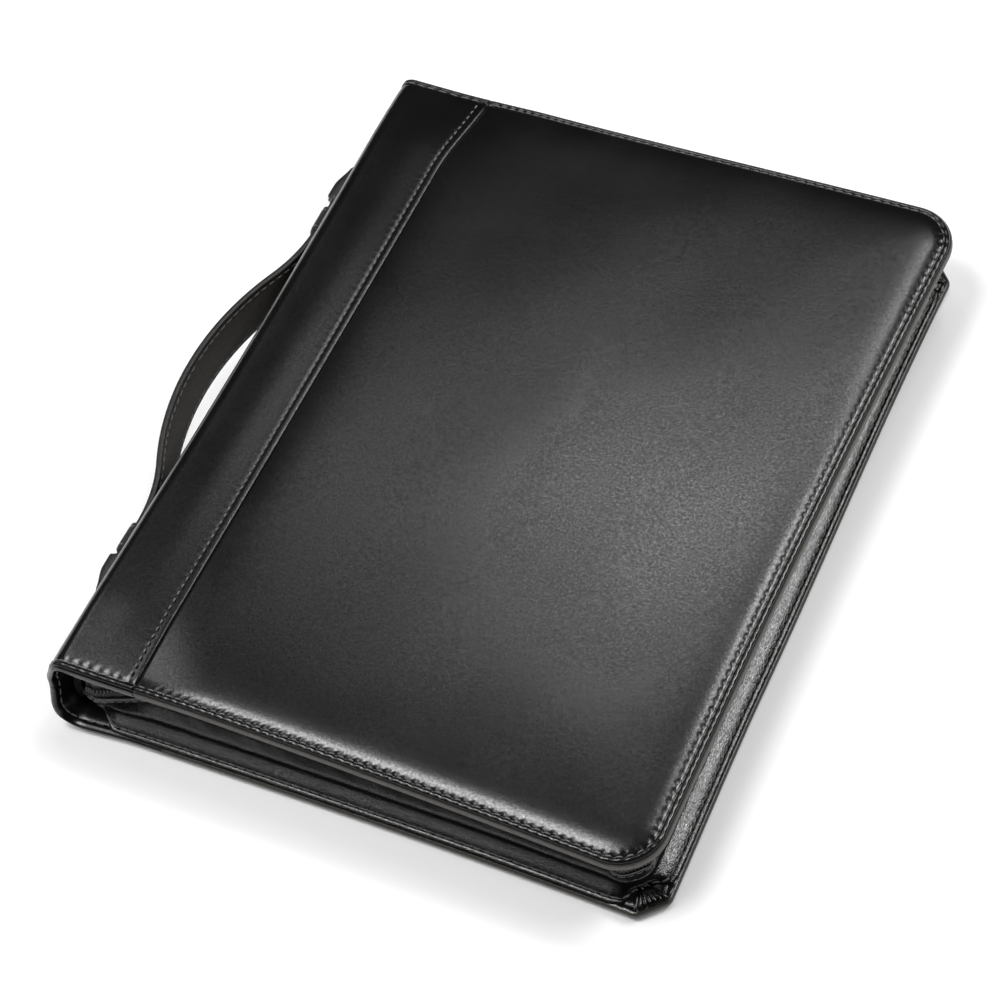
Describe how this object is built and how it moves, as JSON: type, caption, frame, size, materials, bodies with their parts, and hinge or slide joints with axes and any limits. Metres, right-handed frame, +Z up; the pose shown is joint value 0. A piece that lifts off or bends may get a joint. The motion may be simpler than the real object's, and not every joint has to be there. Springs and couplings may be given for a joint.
{
  "type": "portfolio case",
  "caption": "Black leather zip-around portfolio case with padded covers, hinged spine, sliding carry handle, ring mechanism and inner pockets.",
  "frame": {"origin": "centre of the back cover's underside, with the closed case lying flat on its back cover", "axes": "+X from the spine towards the opening edge, +Y from the foot towards the head of the case, +Z up through the thickness towards the front cover"},
  "size_m": [0.296, 0.337, 0.046],
  "materials": {
    "cover_leather": "smooth fine-grain black leather, semi-gloss, padded and stitched",
    "spine_leather": "smooth black leather, satin",
    "gusset_leather": "thin black leather, satin",
    "strap_leather": "black leather with painted edges, satin",
    "pocket_leather": "thin black leather, fine grain, matte",
    "lining": "black woven lining, matte",
    "board": "grey-brown binder board",
    "foam": "thin dark padding foam",
    "zip_tape": "black woven zip tape",
    "zip_teeth": "black nylon coil",
    "black_metal": "black lacquered metal, semi-gloss",
    "nickel": "bright nickel-plated steel",
    "clear_vinyl": "clear flexible vinyl"
  },
  "bodies": {
    "back_cover": {"back_leather": "cover_leather", "back_board": "board", "back_lining": "lining", "pad_pocket": "pocket_leather", "spine_leather_back": "spine_leather", "lower_gusset": "gusset_leather", "gusset_end_foot": "gusset_leather", "gusset_end_head": "gusset_leather", "zip_tape_lower": "zip_tape", "zip_teeth_lower": "zip_teeth", "ring_cover_plate": "nickel", "ring_rivets": "nickel"},
    "spine": {"spine_leather": "spine_leather", "spine_board": "board", "spine_lining": "lining", "strap_keeper_foot": "strap_leather", "strap_keeper_head": "strap_leather"},
    "front_cover": {"spine_leather_front": "spine_leather", "front_leather": "cover_leather", "front_foam": "foam", "front_board": "board", "front_lining": "lining", "file_pocket": "pocket_leather", "card_pocket_1": "pocket_leather", "card_pocket_2": "pocket_leather", "card_pocket_3": "pocket_leather", "id_window": "clear_vinyl", "pen_loop": "pocket_leather", "upper_gusset": "gusset_leather", "zip_tape_upper": "zip_tape", "zip_teeth_upper": "zip_teeth"},
    "slider": {"zip_slider": "black_metal"},
    "pull": {"zip_pull": "black_metal"},
    "rings_left": {"ring_leaf_left": "nickel", "half_rings_left": "nickel"},
    "rings_right": {"ring_leaf_right": "nickel", "half_rings_right": "nickel"},
    "lever_foot": {"ring_lever_foot": "nickel"},
    "lever_head": {"ring_lever_head": "nickel"},
    "grip": {"handle_grip": "strap_leather", "handle_leg_foot": "strap_leather", "handle_leg_head": "strap_leather"},
    "strap_foot": {"strap_end_foot": "strap_leather", "strap_stop_foot": "strap_leather"},
    "strap_head": {"strap_end_head": "strap_leather", "strap_stop_head": "strap_leather"}
  },
  "joints": [
    {"name": "spine_hinge", "type": "hinge", "parent": "back_cover", "child": "spine", "pos_m": [-0.13328, 0, 0.00322], "axis": [0, -1, 0], "range_deg": [0, 90]},
    {"name": "cover_hinge", "type": "hinge", "parent": "spine", "child": "front_cover", "pos_m": [-0.135, 0, 0.0445], "axis": [0, -1, 0], "range_deg": [0, 91.2]},
    {"name": "zip_slide", "type": "slide", "parent": "back_cover", "child": "slider", "axis": [1, 0, 0], "range_m": [0, 0.2]},
    {"name": "pull_hinge", "type": "hinge", "parent": "slider", "child": "pull", "pos_m": [-0.104, 0.16205, 0.028], "axis": [0, 0, 1], "range_deg": [0, 170]},
    {"name": "ring_open", "type": "hinge", "parent": "back_cover", "child": "rings_left", "pos_m": [-0.1132, 0, 0.0075], "axis": [0, -1, 0], "range_deg": [0, 14]},
    {"name": "ring_open_right", "type": "hinge", "parent": "back_cover", "child": "rings_right", "pos_m": [-0.0948, 0, 0.0075], "axis": [0, 1, 0], "range_deg": [0, 14.01]},
    {"name": "lever_press_foot", "type": "hinge", "parent": "back_cover", "child": "lever_foot", "pos_m": [-0.104, -0.132, 0.0083], "axis": [1, 0, 0], "range_deg": [0, 20.01]},
    {"name": "lever_press_head", "type": "hinge", "parent": "back_cover", "child": "lever_head", "pos_m": [-0.104, 0.132, 0.0083], "axis": [-1, 0, 0], "range_deg": [0, 20.01]},
    {"name": "handle_retract", "type": "slide", "parent": "spine", "child": "grip", "axis": [1, 0, 0], "range_m": [0, 0.0175], "deforming": ["handle_leg_foot", "handle_leg_head"]},
    {"name": "strap_slide_foot", "type": "slide", "parent": "grip", "child": "strap_foot", "axis": [-0.9856, -0.169, 0], "range_m": [0, 0.01776]},
    {"name": "strap_slide_head", "type": "slide", "parent": "grip", "child": "strap_head", "axis": [-0.9856, 0.169, 0], "range_m": [0, 0.01776]}
  ],
  "couplings": [
    {"joint": "ring_open_right", "follows": "ring_open", "ratio": 1},
    {"joint": "lever_press_foot", "follows": "ring_open", "ratio": 1.4286},
    {"joint": "lever_press_head", "follows": "ring_open", "ratio": 1.4286},
    {"joint": "strap_slide_foot", "follows": "handle_retract", "ratio": 1.0146},
    {"joint": "strap_slide_head", "follows": "handle_retract", "ratio": 1.0146}
  ]
}
